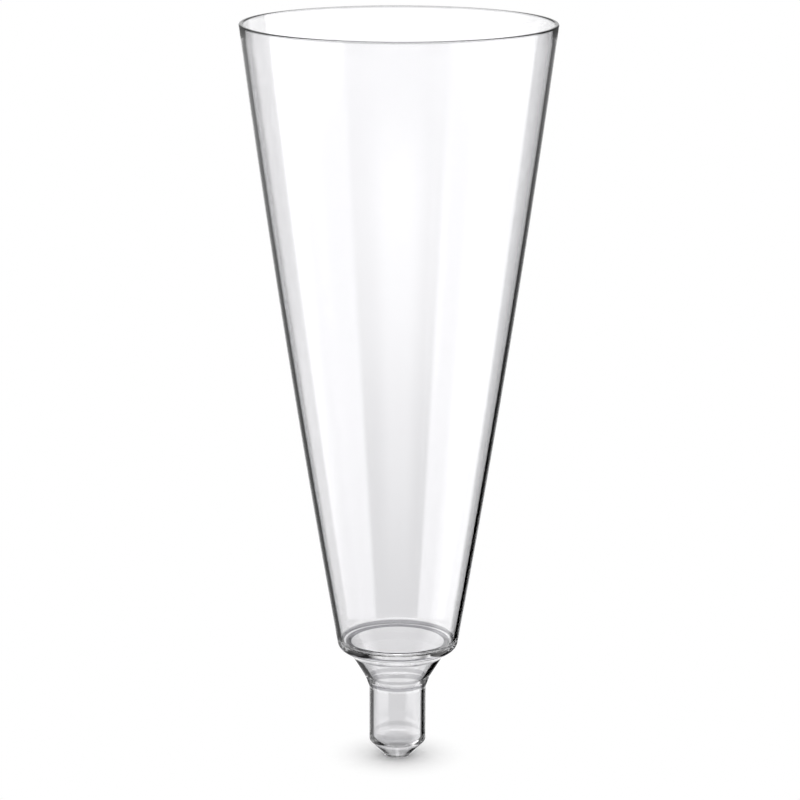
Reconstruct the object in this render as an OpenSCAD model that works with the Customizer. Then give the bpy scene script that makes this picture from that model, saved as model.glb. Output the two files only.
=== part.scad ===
// Stemless plastic flute: the bowl of a disposable two-piece sparkling wine flute.
// It is moulded in one piece of clear plastic. The hollow plug under the bowl is
// what pushes into a separate foot. Z points up and the plug's tip is at z = 0.

/* [Bowl] */
// Outer diameter at the rim
rim_d = 58.2; // [46:0.1:80]
// Height of the whole piece, from the tip of the plug to the rim
height = 140; // [100:0.5:220]
// Outer diameter at the foot of the bowl, before its edge is rounded
bowl_foot_d = 22.6; // [22.2:0.1:30]
// How far the side swells beyond a straight taper, at half height
side_swell = 0.7; // [0:0.05:2]
// Wall thickness at the rim
rim_wall = 0.8; // [0.6:0.05:1.2]
// Wall thickness at the foot of the bowl
foot_wall = 0.85; // [0.6:0.05:1.1]
// Radius that rounds the two edges of the rim
rim_round = 0.25; // [0.05:0.05:0.25]

/* [Shoulder] */
// Height over which the shoulder spreads from the neck to the foot of the bowl
shoulder_h = 1.85; // [1.2:0.05:3]
// Radius of the shoulder's outer edge
shoulder_round = 1.7; // [0.5:0.05:1.9]
// Height of the ledge inside, above the foot of the bowl
ledge_h = 0.85; // [0.3:0.05:1.5]
// Radius between the ledge and the wall of the bowl
ledge_round = 1.5; // [0.2:0.05:1.6]
// Radius of the lip between the ledge and the funnel
lip_round = 0.3; // [0.1:0.05:0.7]

/* [Neck] */
// Outer diameter of the neck where the shoulder starts to spread
neck_top_d = 17.55; // [16:0.05:18.2]
// Height of the neck, from the plug to the shoulder
neck_h = 6.45; // [5:0.05:12]
// Radius where the neck turns into the shoulder
neck_root_round = 0.8; // [0.2:0.05:1.2]
// Outer diameter of the neck at its bend
neck_bend_d = 12.35; // [11.6:0.05:13]
// Height of the bend above the plug
neck_bend_h = 2.2; // [1.6:0.1:3]
// Radius of the bend
neck_bend_round = 6; // [1:0.5:8]
// Diameter of the funnel inside, at the level of the ledge
funnel_d = 17.6; // [15.5:0.05:17.9]
// Height of the mouth of the bore above the plug
mouth_h = 1.55; // [0.8:0.05:2.2]

/* [Plug] */
// Outer diameter of the plug, which fits the socket of the foot
plug_d = 10.7; // [9.5:0.05:11]
// Length of the straight side of the plug
plug_l = 10.6; // [6:0.1:20]
// Wall thickness of the plug
plug_wall = 0.85; // [0.6:0.05:1]
// Height of the tapered end
tip_h = 3.25; // [2:0.05:5]
// Diameter of the flat at the very tip
tip_d = 4.6; // [3:0.1:6]
// Wall thickness of the tapered end
tip_wall = 0.7; // [0.6:0.05:1]
// Thickness of the floor at the tip
floor_t = 1; // [0.7:0.05:1.3]
// Radius that rounds both edges of the tapered end
tip_round = 0.8; // [0.1:0.05:0.9]
// Radius inside, where the side of the bore turns into the tapered end
bore_end_round = 3; // [0.2:0.1:3.4]
// Radius inside, round the edge of the floor
floor_round = 1; // [0.1:0.05:1.5]

/* [Hidden] */

// Fineness of the turned surfaces, of the bowed side and of the rounded corners
TURN_STEPS = 180;
SIDE_STEPS = 14;
CORNER_STEP_ANGLE = 9;

// Levels, from the tip upwards
plug_top_z = tip_h + plug_l;
neck_top_z = plug_top_z + neck_h;
shoulder_z = neck_top_z + shoulder_h;
ledge_z = shoulder_z + ledge_h;
bore_r = plug_d / 2 - plug_wall;

// Corners of the outer side, each one as [radius, height]
tip_edge = [tip_d / 2, 0];
plug_foot = [plug_d / 2, tip_h];
plug_top = [plug_d / 2, plug_top_z];
neck_bend = [neck_bend_d / 2, plug_top_z + neck_bend_h];
neck_top = [neck_top_d / 2, neck_top_z];
shoulder_edge = [bowl_foot_d / 2, shoulder_z];

// A point that lies a wall's thickness inwards from a, square to the line from a to b
function inwards(a, b, wall) =
    let (along = (b - a) / norm(b - a)) a + wall * [-along[1], along[0]];

// Where the line from a along u meets the line from b along v
function meet(a, u, b, v) =
    a + u * ((b[0] - a[0]) * v[1] - (b[1] - a[1]) * v[0]) / (u[0] * v[1] - u[1] * v[0]);

// Corners of the inner side. The tapered end keeps its wall thickness all along, and
// the funnel runs straight from its lip to the mouth of the bore.
taper_dir = plug_foot - tip_edge;
taper_start = inwards(tip_edge, plug_foot, tip_wall);
floor_edge = meet(taper_start, taper_dir, [0, floor_t], [1, 0]);
bore_foot = meet(taper_start, taper_dir, [bore_r, 0], [0, 1]);
bore_mouth = [bore_r, plug_top_z + mouth_h];
funnel_lip = [funnel_d / 2, ledge_z];

// The outer side of the bowl is a gentle bow between its foot and the rim
function bowl_side_r(z) =
    let (part = (z - shoulder_z) / (height - shoulder_z))
    bowl_foot_d / 2 + part * (rim_d - bowl_foot_d) / 2 + 4 * side_swell * part * (1 - part);

// The wall thickness of the bowl changes evenly from its foot to the rim
function bowl_wall(z) =
    foot_wall + (rim_wall - foot_wall) * (z - ledge_z) / (height - ledge_z);

// An arc of the given radius in the corner at b, between the lines to a and to c
function rounded_corner(a, b, c, radius) =
    let (
        to_a = (a - b) / norm(a - b),
        to_c = (c - b) / norm(c - b),
        half = acos(to_a * to_c) / 2,
        centre = b + (to_a + to_c) / norm(to_a + to_c) * radius / sin(half),
        first = b + to_a * radius / tan(half) - centre,
        last = b + to_c * radius / tan(half) - centre,
        turn = 180 - 2 * half,
        side = sign(first[0] * last[1] - first[1] * last[0]),
        steps = max(2, ceil(turn / CORNER_STEP_ANGLE))
    )
    [for (i = [0 : steps])
        let (w = side * turn * i / steps)
        centre + [
            first[0] * cos(w) - first[1] * sin(w),
            first[0] * sin(w) + first[1] * cos(w)
        ]];

// A closed outline from corners written as [radius, height, rounding]
function outline(corners) =
    [for (i = [0 : len(corners) - 1])
        let (
            n = len(corners),
            here = corners[i],
            before = corners[(i + n - 1) % n],
            after = corners[(i + 1) % n]
        )
        each here[2] == 0
            ? [[here[0], here[1]]]
            : rounded_corner(
                [before[0], before[1]], [here[0], here[1]], [after[0], after[1]], here[2]
            )];

function corner(point, rounding = 0) = [point[0], point[1], rounding];

// Half of the section through the axis, from the tip up the outside and down the inside
section_corners = concat(
    [
        [0, 0, 0],
        corner(tip_edge, tip_round),
        corner(plug_foot, tip_round),
        corner(plug_top),
        corner(neck_bend, neck_bend_round),
        corner(neck_top, neck_root_round),
        corner(shoulder_edge, shoulder_round)
    ],
    [for (i = [1 : SIDE_STEPS - 1])
        let (z = shoulder_z + (height - shoulder_z) * i / SIDE_STEPS) [bowl_side_r(z), z, 0]],
    [
        [rim_d / 2, height, rim_round],
        [rim_d / 2 - rim_wall, height, rim_round]
    ],
    [for (i = [SIDE_STEPS - 1 : -1 : 1])
        let (z = shoulder_z + (height - shoulder_z) * i / SIDE_STEPS)
        [bowl_side_r(z) - bowl_wall(z), z, 0]],
    [
        [bowl_side_r(ledge_z) - foot_wall, ledge_z, ledge_round],
        corner(funnel_lip, lip_round),
        corner(bore_mouth),
        corner(bore_foot, bore_end_round),
        corner(floor_edge, floor_round),
        [0, floor_t, 0]
    ]
);

// The whole flute is one turned shell of clear plastic
module flute() {
    color("gainsboro", 0.35)
        rotate_extrude($fn = TURN_STEPS)
            polygon(outline(section_corners));
}

flute();
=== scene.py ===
# %% [markdown]
# # A stemless plastic flute
# A disposable flute is sold in two parts: a tall clear bowl with a hollow plug under
# it, and a foot that the plug is pushed into. This scene shows the bowl on its own,
# as it comes out of the mould: one turned shell of clear plastic, a little under a
# millimetre thick but for its shoulder.
#
# The CAD frame already holds that shape, but as flat facets. Clear plastic shows
# every facet twice over, in its reflections and in what is bent through it, so the
# shell is turned again here, finely enough to look smooth.

# %% Open the frame
import math

import bpy
from mathutils import Matrix, Vector


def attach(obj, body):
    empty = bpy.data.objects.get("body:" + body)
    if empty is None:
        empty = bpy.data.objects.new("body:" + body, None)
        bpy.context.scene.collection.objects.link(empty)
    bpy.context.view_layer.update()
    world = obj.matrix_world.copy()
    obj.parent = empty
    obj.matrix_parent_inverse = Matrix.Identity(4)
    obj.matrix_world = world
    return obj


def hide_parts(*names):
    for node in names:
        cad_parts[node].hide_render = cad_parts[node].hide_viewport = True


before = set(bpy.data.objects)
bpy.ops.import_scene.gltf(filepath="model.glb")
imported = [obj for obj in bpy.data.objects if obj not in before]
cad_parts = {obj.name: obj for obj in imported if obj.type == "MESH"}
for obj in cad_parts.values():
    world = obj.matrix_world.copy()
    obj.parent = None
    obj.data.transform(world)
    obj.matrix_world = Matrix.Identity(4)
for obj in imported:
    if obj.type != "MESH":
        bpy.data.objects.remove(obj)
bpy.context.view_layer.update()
bpy.ops.object.select_all(action="DESELECT")

# %% [markdown]
# ## Half of the section
# A turned thing is known by half of its section: the line that a cut through its
# axis would show on one side. It runs up the outside and down the inside. Each corner
# is written as its distance from the axis and its height, in millimetres, with the
# radius that rounds it. Where a wall keeps its thickness, its inner corners follow
# from the outer ones.

# %% Sizes of the outside, in millimetres
MM = 0.001

RIM_R = 29.1
HEIGHT = 140.0
BOWL_FOOT_R = 11.3
SIDE_SWELL = 0.7
PLUG_R = 5.35
TIP_R = 2.3
TIP_H = 3.25
PLUG_TOP_Z = 13.85
NECK_BEND_R = 6.175
NECK_BEND_H = 2.2
NECK_TOP_R = 8.775
NECK_TOP_Z = 20.3
SHOULDER_Z = 22.15

tip_edge = Vector((TIP_R, 0.0))
plug_foot = Vector((PLUG_R, TIP_H))
plug_top = Vector((PLUG_R, PLUG_TOP_Z))
neck_bend = Vector((NECK_BEND_R, PLUG_TOP_Z + NECK_BEND_H))
neck_top = Vector((NECK_TOP_R, NECK_TOP_Z))
shoulder_edge = Vector((BOWL_FOOT_R, SHOULDER_Z))
print("the plug is", 2 * PLUG_R, "mm across, the rim", 2 * RIM_R)

# %% Where the inner faces lie and meet
def inwards(a, b, wall):
    """A point a wall's thickness inwards from a, square to the line from a to b."""
    along = (b - a).normalized()
    return a + wall * Vector((-along.y, along.x))


def meet(a, u, b, v):
    """Where the line from a along u meets the line from b along v."""
    gap = b - a
    return a + u * (gap.x * v.y - gap.y * v.x) / (u.x * v.y - u.y * v.x)


ACROSS = Vector((1.0, 0.0))
UPWARDS = Vector((0.0, 1.0))
LEDGE_Z = 23.0
FUNNEL_R = 8.8
BORE_R = 4.5
MOUTH_H = 1.55
TIP_WALL = 0.7
FLOOR = 1.0

taper_dir = plug_foot - tip_edge
taper_start = inwards(tip_edge, plug_foot, TIP_WALL)
floor_edge = meet(taper_start, taper_dir, Vector((0.0, FLOOR)), ACROSS)
bore_foot = meet(taper_start, taper_dir, Vector((BORE_R, 0.0)), UPWARDS)
bore_mouth = Vector((BORE_R, PLUG_TOP_Z + MOUTH_H))
funnel_lip = Vector((FUNNEL_R, LEDGE_Z))
print("the bore is", 2 * BORE_R, "mm across and ends", round(bore_foot.y, 2), "mm up")

# %% The bowed side of the bowl
RIM_WALL = 0.8
FOOT_WALL = 0.85
SIDE_STEPS = 40


def side_r(z):
    """Radius of the outside of the bowl at a height."""
    part = (z - SHOULDER_Z) / (HEIGHT - SHOULDER_Z)
    taper = BOWL_FOOT_R + part * (RIM_R - BOWL_FOOT_R)
    return taper + 4 * SIDE_SWELL * part * (1 - part)


def side_wall(z):
    """Thickness of the bowl at a height."""
    part = (z - LEDGE_Z) / (HEIGHT - LEDGE_Z)
    return FOOT_WALL + part * (RIM_WALL - FOOT_WALL)


def levels(bottom, top):
    """Heights between two levels, evenly spaced, without the two themselves."""
    return [bottom + (top - bottom) * i / SIDE_STEPS for i in range(1, SIDE_STEPS)]


print("half-way up, the bowl is", round(2 * side_r(HEIGHT / 2), 1), "mm across")

# %% All corners of the section, in order
SHARP = 0.0
TIP_ROUND = 0.8
NECK_BEND_ROUND = 6.0
NECK_ROOT_ROUND = 0.8
SHOULDER_ROUND = 1.7
RIM_ROUND = 0.25
LEDGE_ROUND = 1.5
LIP_ROUND = 0.3
BORE_END_ROUND = 3.0
FLOOR_ROUND = 1.0

corners = [
    (Vector((0.0, 0.0)), SHARP),
    (tip_edge, TIP_ROUND),
    (plug_foot, TIP_ROUND),
    (plug_top, SHARP),
    (neck_bend, NECK_BEND_ROUND),
    (neck_top, NECK_ROOT_ROUND),
    (shoulder_edge, SHOULDER_ROUND),
]
corners += [(Vector((side_r(z), z)), SHARP) for z in levels(SHOULDER_Z, HEIGHT)]
corners += [
    (Vector((RIM_R, HEIGHT)), RIM_ROUND),
    (Vector((RIM_R - RIM_WALL, HEIGHT)), RIM_ROUND),
]
corners += [
    (Vector((side_r(z) - side_wall(z), z)), SHARP)
    for z in reversed(levels(SHOULDER_Z, HEIGHT))
]
corners += [
    (Vector((side_r(LEDGE_Z) - FOOT_WALL, LEDGE_Z)), LEDGE_ROUND),
    (funnel_lip, LIP_ROUND),
    (bore_mouth, SHARP),
    (bore_foot, BORE_END_ROUND),
    (floor_edge, FLOOR_ROUND),
    (Vector((0.0, FLOOR)), SHARP),
]
print(len(corners), "corners")

# %% Round the corners
ARC_STEP = math.radians(5)


def rounded(before, here, after, radius):
    """Points of an arc that rounds the corner at here."""
    to_before = (before - here).normalized()
    to_after = (after - here).normalized()
    half = to_before.angle(to_after) / 2
    bisector = (to_before + to_after).normalized()
    centre = here + bisector * radius / math.sin(half)
    first = here + to_before * radius / math.tan(half) - centre
    last = here + to_after * radius / math.tan(half) - centre
    turn = math.pi - 2 * half
    way = math.copysign(1.0, first.x * last.y - first.y * last.x)
    steps = max(2, math.ceil(turn / ARC_STEP))
    return [
        centre + Matrix.Rotation(way * turn * i / steps, 2) @ first
        for i in range(steps + 1)
    ]


section = []
for i, (here, radius) in enumerate(corners):
    if radius == SHARP:
        section.append(here)
    else:
        after = corners[i + 1][0]
        section += rounded(corners[i - 1][0], here, after, radius)
print(len(section), "points round half of the section")

# %% [markdown]
# ## Turning the shell
# The section is drawn as by hand, by extruding one vertex from point to point. It
# starts from a primitive, of which one vertex is kept. The spin tool then carries the
# line once round the axis. The first and the last turn lie on each other and so do
# the points on the axis, so doubles are merged, and after that the normals are turned
# outwards, because light bends the right way only through a shell whose faces agree.

# %% Draw the section
bpy.ops.mesh.primitive_plane_add(size=MM, location=(0, 0, 0))
flute = bpy.context.object
flute.name = "clear_flute"
flute.data.name = "clear_flute"
bpy.ops.object.mode_set(mode="EDIT")
bpy.ops.mesh.merge(type="CENTER")
pen = section[0]
for point in section[1:]:
    step = (point - pen) * MM
    bpy.ops.mesh.extrude_vertices_move(
        TRANSFORM_OT_translate={"value": (step.x, 0.0, step.y)}
    )
    pen = point
print("drew", len(section) - 1, "edges")

# %% Spin it into a closed shell
TURN_STEPS = 256
MERGE = 0.001 * MM
SMOOTH_ANGLE = math.radians(14)

bpy.ops.mesh.select_all(action="SELECT")
bpy.ops.mesh.spin(steps=TURN_STEPS, angle=math.tau, center=(0, 0, 0), axis=(0, 0, 1))
bpy.ops.mesh.select_all(action="SELECT")
bpy.ops.mesh.remove_doubles(threshold=MERGE)
bpy.ops.mesh.normals_make_consistent(inside=False)
bpy.ops.object.mode_set(mode="OBJECT")
bpy.ops.object.shade_smooth_by_angle(angle=SMOOTH_ANGLE)
print(len(flute.data.polygons), "faces")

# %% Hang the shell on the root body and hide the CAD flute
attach(flute, "root")
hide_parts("flute")

# %% [markdown]
# ## Writing shader maths as expressions
# A node tree that does sums is hard to read. This small class wraps a socket and
# overloads the operators, so that a formula in Python adds its own Math nodes.

# %% Values on sockets
class Value:
    """A number that comes out of a socket."""

    def __init__(self, tree, socket):
        self.tree = tree
        self.socket = socket

    def node(self, kind, settings=None, **inputs):
        """Add a node: first its settings, then values or links of its sockets."""
        return add_node(self.tree, kind, settings, **inputs)

    def maths(self, operation, *others):
        inputs = {str(i): other for i, other in enumerate((self,) + others)}
        node = self.node("ShaderNodeMath", {"operation": operation}, **inputs)
        return Value(self.tree, node.outputs[0])

    def __add__(self, other):
        return self.maths("ADD", other)

    def __sub__(self, other):
        return self.maths("SUBTRACT", other)

    def __rsub__(self, other):
        return (self * -1.0).maths("ADD", other)

    def __mul__(self, other):
        return self.maths("MULTIPLY", other)

    def __gt__(self, other):
        return self.maths("GREATER_THAN", other)

    def __lt__(self, other):
        return self.maths("LESS_THAN", other)

    __radd__ = __add__
    __rmul__ = __mul__

    def ramp(self, start, end, low=0.0, high=1.0):
        """Smooth step from low at start to high at end."""
        node = self.node(
            "ShaderNodeMapRange",
            {"interpolation_type": "SMOOTHSTEP"},
            **{
                "Value": self,
                "From Min": start,
                "From Max": end,
                "To Min": low,
                "To Max": high,
            },
        )
        return Value(self.tree, node.outputs["Result"])


def add_node(tree, kind, settings=None, **inputs):
    """Add a node to a tree: its settings first, then values or links of its sockets."""
    node = tree.nodes.new(kind)
    for name, setting in (settings or {}).items():
        setattr(node, name, setting)
    for name, value in inputs.items():
        socket = node.inputs[int(name)] if name.isdigit() else node.inputs[name]
        if isinstance(value, Value):
            tree.links.new(value.socket, socket)
        elif isinstance(value, bpy.types.NodeSocket):
            tree.links.new(value, socket)
        else:
            socket.default_value = value
    return node

# %% [markdown]
# ## Clear plastic
# Clear polystyrene bends light more than glass does. Most of what looks grey in it is
# the studio in its reflections, and a trace of tint that adds up where light crosses
# more walls. The tint is also set a little darker low down, as painted shade that
# greys the lower walls.

# %% The clear plastic
PLASTIC_IOR = 1.59
TINT_CAST = (-0.002, -0.004, 0.006)
# Grey of the tint by height: the plastic's own faint tint, set darker low down as painted
# shade.
TINT_AND_LOW_SHADE_STOPS = [
    (0.0, 0.895),
    (0.13, 0.90),
    (0.165, 0.93),
    (0.36, 0.955),
    (0.5, 0.97),
    (0.64, 0.978),
    (1.0, 0.99),
]

plastic = bpy.data.materials.new("clear_plastic")
plastic.use_nodes = True
tree = plastic.node_tree
shader = tree.nodes["Principled BSDF"]
shader.inputs["Transmission Weight"].default_value = 1.0
shader.inputs["IOR"].default_value = PLASTIC_IOR
shader.inputs["Roughness"].default_value = 0.0
place = add_node(tree, "ShaderNodeTexCoord")
split = add_node(tree, "ShaderNodeSeparateXYZ", None, Vector=place.outputs["Object"])
across, deep, level = (Value(tree, socket) * (1 / MM) for socket in split.outputs)
from_axis = (across * across + deep * deep).maths("SQRT")
tint_and_low_shade = add_node(tree, "ShaderNodeValToRGB", None, Fac=level * (1 / HEIGHT))
stops = tint_and_low_shade.color_ramp.elements
for i, (at, grey) in enumerate(TINT_AND_LOW_SHADE_STOPS):
    stop = stops[i] if i < len(stops) else stops.new(at)
    stop.position = at
    stop.color = (*(grey + cast for cast in TINT_CAST), 1.0)

# %% [markdown]
# ## Painted shade: grey lines
# The plastic shows soft grey lines where it turns a corner, and bending alone does not
# make all of them. Rings of painted shade, a darker tint, stand in for the rest. They run
# round the whole piece alike, so that no side of it is painted for one view.

# %% Painted shade: grey lines where the plastic turns a corner
# Each ring is painted shade: a darker tint where the plastic turns a corner.
# Radius, half of the width, height, half of the height and softness of the edges, all
# in millimetres, and the strength
PAINTED_SHADE_RINGS = {
    "flat of the ledge": (9.33, 0.54, 23.05, 0.25, 0.06, 0.7905),
    "lip of the ledge": (8.85, 0.16, 23.0, 0.15, 0.05, 0.085),
    "round of the ledge": (10.44, 0.2, 23.5, 0.55, 0.06, 0.7055),
    "edge of the shoulder": (11.1, 0.3, 22.42, 0.22, 0.08, 0.8),
    "mouth of the bore": (4.95, 0.35, 16.36, 0.4, 0.1, 0.55),
    "crease of the plug": (5.65, 0.4, 14.75, 0.38, 0.12, 0.65),
    "foot of the bore": (4.5, 0.2, 4.8, 0.42, 0.25, 0.28),
    "rim": (28.7, 0.6, 139.9, 0.3, 0.05, 0.32),
}
# Painted shade: the lowest few millimetres of the tip are tinted darker.
TIP_SHADE_FROM = 2.4
TIP_SHADE_TO = 3.2
TIP_PAINTED_SHADE = 0.16
PAINTED_SHADE_COLOUR = (0.0, 0.0, 0.018, 1.0)


def ring(radius, half_width, height, half_height, soft):
    """1 in a ring round the axis, in millimetres, fading to 0 at its edges."""
    off = (from_axis - radius).maths("ABSOLUTE")
    off_level = (level - height).maths("ABSOLUTE")
    sideways = off.ramp(half_width - soft, half_width + soft, 1.0, 0.0)
    return sideways * off_level.ramp(half_height - soft, half_height + soft, 1.0, 0.0)


# Painted shade: the rings and the dark tip darken the plastic's tint.
painted_shade_lines = level.ramp(TIP_SHADE_FROM, TIP_SHADE_TO, 1.0, 0.0) * TIP_PAINTED_SHADE
for *shape, strength in PAINTED_SHADE_RINGS.values():
    painted_shade_lines += ring(*shape) * strength
print(len(PAINTED_SHADE_RINGS), "grey rings")

# %% Put the tint and the painted shade lines on the plastic
tint_with_painted_shade = add_node(
    tree,
    "ShaderNodeMix",
    {"data_type": "RGBA"},
    **{"0": painted_shade_lines, "6": tint_and_low_shade.outputs["Color"], "7": PAINTED_SHADE_COLOUR},
)
tree.links.new(tint_with_painted_shade.outputs[2], shader.inputs["Base Color"])
flute.data.materials.append(plastic)
print("plastic:", len(tree.nodes), "nodes")

# %% [markdown]
# ## The studio
# Clear things are photographed against white, between two softboxes that stand to the
# left and the right, with the dark room behind the camera. The dark edges of the
# plastic are the room, seen in reflections. The white that shines through it is the
# paper behind. The world holds both: a ray that was never reflected sees white paper,
# and one that the plastic has reflected sees the room with its softboxes. Where the
# boxes stand and how bright they are was fitted to the bands in the photograph.

# %% Which rays see the room
def sees_the_room(tree):
    """1 for a ray that a clear surface has reflected, 0 for all others."""
    path = add_node(tree, "ShaderNodeLightPath")
    mirrored = Value(tree, path.outputs["Glossy Depth"]) > 0.5
    direct = Value(tree, path.outputs["Diffuse Depth"]) < 0.5
    return mirrored * direct


# %% Directions in the room, in degrees
world = bpy.data.worlds.new("studio")
bpy.context.scene.world = world
world.use_nodes = True
tree = world.node_tree
sky = tree.nodes["Background"]
place = add_node(tree, "ShaderNodeTexCoord")
split = add_node(tree, "ShaderNodeSeparateXYZ", None, Vector=place.outputs["Generated"])
x, y, z = (Value(tree, socket) for socket in split.outputs)
DEGREES = 180 / math.pi
azimuth = x.maths("ARCTAN2", y * -1.0) * DEGREES
elevation = z.maths("ARCSINE") * DEGREES
aside = azimuth.maths("ABSOLUTE")


def band(angle, rise_from, rise_to, fall_from, fall_to):
    """1 between two angles, with a soft edge on either side."""
    return angle.ramp(rise_from, rise_to) * angle.ramp(fall_from, fall_to, 1.0, 0.0)


print("azimuth 0 is behind the camera, elevation 0 is level")

# %% [markdown]
# Each light in the room is a patch between two azimuths and two elevations, in degrees,
# with soft edges. What no patch covers stays dark.

# %% The two softboxes
BOX_STRENGTH = 2.5
LEFT_STEPS = (0.28, 0.72)
BOX_FOOT = 0.42

left_edge = azimuth.ramp(-137, -126)
left_box = left_edge * LEFT_STEPS[0] + azimuth.ramp(-122, -90) * LEFT_STEPS[1]
left_box *= azimuth.ramp(-44, -37, 1.0, 0.0)
right_box = band(azimuth, 40, 48, 118, 122)
box_height = band(elevation, -22, -18, 24, 36)
box_fade = elevation.ramp(-22, 2, BOX_FOOT, 1.0)
boxes = (left_box + right_box) * box_height * box_fade * BOX_STRENGTH

# %% Low cards beside the plug
LOW_RIGHT = 1.5
LOW_LEFT = 0.6

low_right = band(azimuth, 55, 90, 118, 122) * band(elevation, -60, -45, -22, -18)
low_right *= LOW_RIGHT
low_left = left_edge * azimuth.ramp(-100, -80, 1.0, 0.0)
low_left *= band(elevation, -34, -26, -22, -18) * LOW_LEFT

# %% Lamps over the camera, and the table in front of it
OVERHEAD_LOW = 2.5
OVERHEAD_HIGH = 4.0
TABLE_TOP = 0.4
TABLE_EDGE = 0.6

front = band(azimuth, -44, -37, 40, 48)
overhead = front * band(elevation, 1.5, 9, 10, 22) * OVERHEAD_LOW
overhead += front * band(elevation, 12, 16, 26, 32) * OVERHEAD_HIGH
table = elevation.ramp(-32, -28) * TABLE_TOP
table += elevation.ramp(-37, -32) * aside.ramp(8, 28, 1.0, 0.0) * TABLE_EDGE
table *= front * elevation.ramp(-26, -22, 1.0, 0.0)

# %% Paper behind, ground, ceiling and the light that spills past the boxes
CEILING = 0.3
LEFT_SPILL = (0.2, 0.07)
RIGHT_SPILL = 0.17

paper = aside.ramp(164, 172) * elevation.ramp(2, 18, 1.0, 0.0)
ground = elevation.ramp(-68, -52, 1.0, 0.0)
ceiling = elevation.ramp(28, 40) * CEILING
left_spill = band(azimuth, -172, -167, -130, -120)
left_spill *= elevation.ramp(-19, -3) * LEFT_SPILL[0] + LEFT_SPILL[1]
right_spill = band(azimuth, 120, 124, 164, 172)
right_spill *= elevation.ramp(-20, -4) * RIGHT_SPILL

# %% Put the room together
room = boxes
for light in (
    low_right,
    low_left,
    overhead,
    table,
    paper,
    ground,
    ceiling,
    left_spill,
    right_spill,
):
    room += light
mask = sees_the_room(tree)
strength = room * mask + (1.0 - mask)
sky.inputs["Color"].default_value = (1.0, 1.0, 1.0, 1.0)
tree.links.new(strength.socket, sky.inputs["Strength"])
print("studio:", len(tree.nodes), "nodes")

# %% [markdown]
# ## The floor
# White paper lies under the flute. It catches the small soft shadow round the tip, and
# further out it glows a plain white. Seen through the plastic, it is given painted light
# nearer the tip as well, which lightens that shadow so that the tip does not turn black.

# %% The paper floor
FLOOR_SIZE = 8.0
SHADOW_FROM = 0.003
SHADOW_TO = 0.014
PAINTED_LIGHT_THROUGH = 0.55

bpy.ops.object.select_all(action="DESELECT")
bpy.ops.mesh.primitive_plane_add(size=FLOOR_SIZE, location=(0, 0, 0))
floor = bpy.context.object
floor.name = "paper_floor"
paper_white = bpy.data.materials.new("paper_white")
paper_white.use_nodes = True
tree = paper_white.node_tree
shader = tree.nodes["Principled BSDF"]
shader.inputs["Base Color"].default_value = (1.0, 1.0, 1.0, 1.0)
shader.inputs["Roughness"].default_value = 1.0
shader.inputs["Specular IOR Level"].default_value = 0.0
place = add_node(tree, "ShaderNodeTexCoord")
reach = add_node(
    tree,
    "ShaderNodeVectorMath",
    {"operation": "LENGTH"},
    **{"0": place.outputs["Object"]},
)
from_tip = Value(tree, reach.outputs["Value"])
path = add_node(tree, "ShaderNodeLightPath")
seen = Value(tree, path.outputs["Diffuse Depth"]) < 0.5
through = Value(tree, path.outputs["Transmission Depth"]) > 0.5
# Painted light: seen through the plastic, the floor near the tip glows brighter,
# lightening its shadow.
white_and_painted_light = from_tip.ramp(SHADOW_FROM, SHADOW_TO) + through * PAINTED_LIGHT_THROUGH
white_and_painted_light = white_and_painted_light.maths("MINIMUM", 1.0)
glow = add_node(tree, "ShaderNodeEmission", None, Color=(1.0, 1.0, 1.0, 1.0), Strength=1.0)
lit = add_node(tree, "ShaderNodeMixShader", None, **{"0": white_and_painted_light * seen})
tree.links.new(shader.outputs[0], lit.inputs[1])
tree.links.new(glow.outputs[0], lit.inputs[2])
hidden = add_node(tree, "ShaderNodeBsdfTransparent")
mix = add_node(tree, "ShaderNodeMixShader", None, **{"0": sees_the_room(tree)})
tree.links.new(lit.outputs[0], mix.inputs[1])
tree.links.new(hidden.outputs[0], mix.inputs[2])
tree.links.new(mix.outputs[0], tree.nodes["Material Output"].inputs["Surface"])
floor.data.materials.append(paper_white)
print("floor:", floor.dimensions.x, "m across")

# %% [markdown]
# ## The camera
# A long lens stands half a metre away and looks down on the flute a little, so that
# the rim opens into a narrow ellipse and the shoulder into a rounder one.

# %% The camera
LENS = 140.65
SENSOR = 36.0
DISTANCE = 0.5666
CAMERA_Z = 0.20505
PITCH = math.radians(13.4315)
YAW = math.radians(0.0349)
ROLL = math.radians(0.131)

camera_data = bpy.data.cameras.new("camera")
camera_data.lens = LENS
camera_data.sensor_width = SENSOR
camera = bpy.data.objects.new("camera", camera_data)
bpy.context.scene.collection.objects.link(camera)
camera.location = (0.0, -DISTANCE, CAMERA_Z)
turned = (
    Matrix.Rotation(-YAW, 3, "Z")
    @ Matrix.Rotation(math.pi / 2 - PITCH, 3, "X")
    @ Matrix.Rotation(ROLL, 3, "Z")
)
camera.rotation_euler = turned.to_euler()
bpy.context.scene.camera = camera
bpy.context.scene.view_settings.view_transform = "Standard"
print("camera at", tuple(round(v, 3) for v in camera.location))

# %% Light that passes many walls
cycles = bpy.context.scene.cycles
cycles.max_bounces = 24
cycles.transmission_bounces = 24
cycles.glossy_bounces = 12
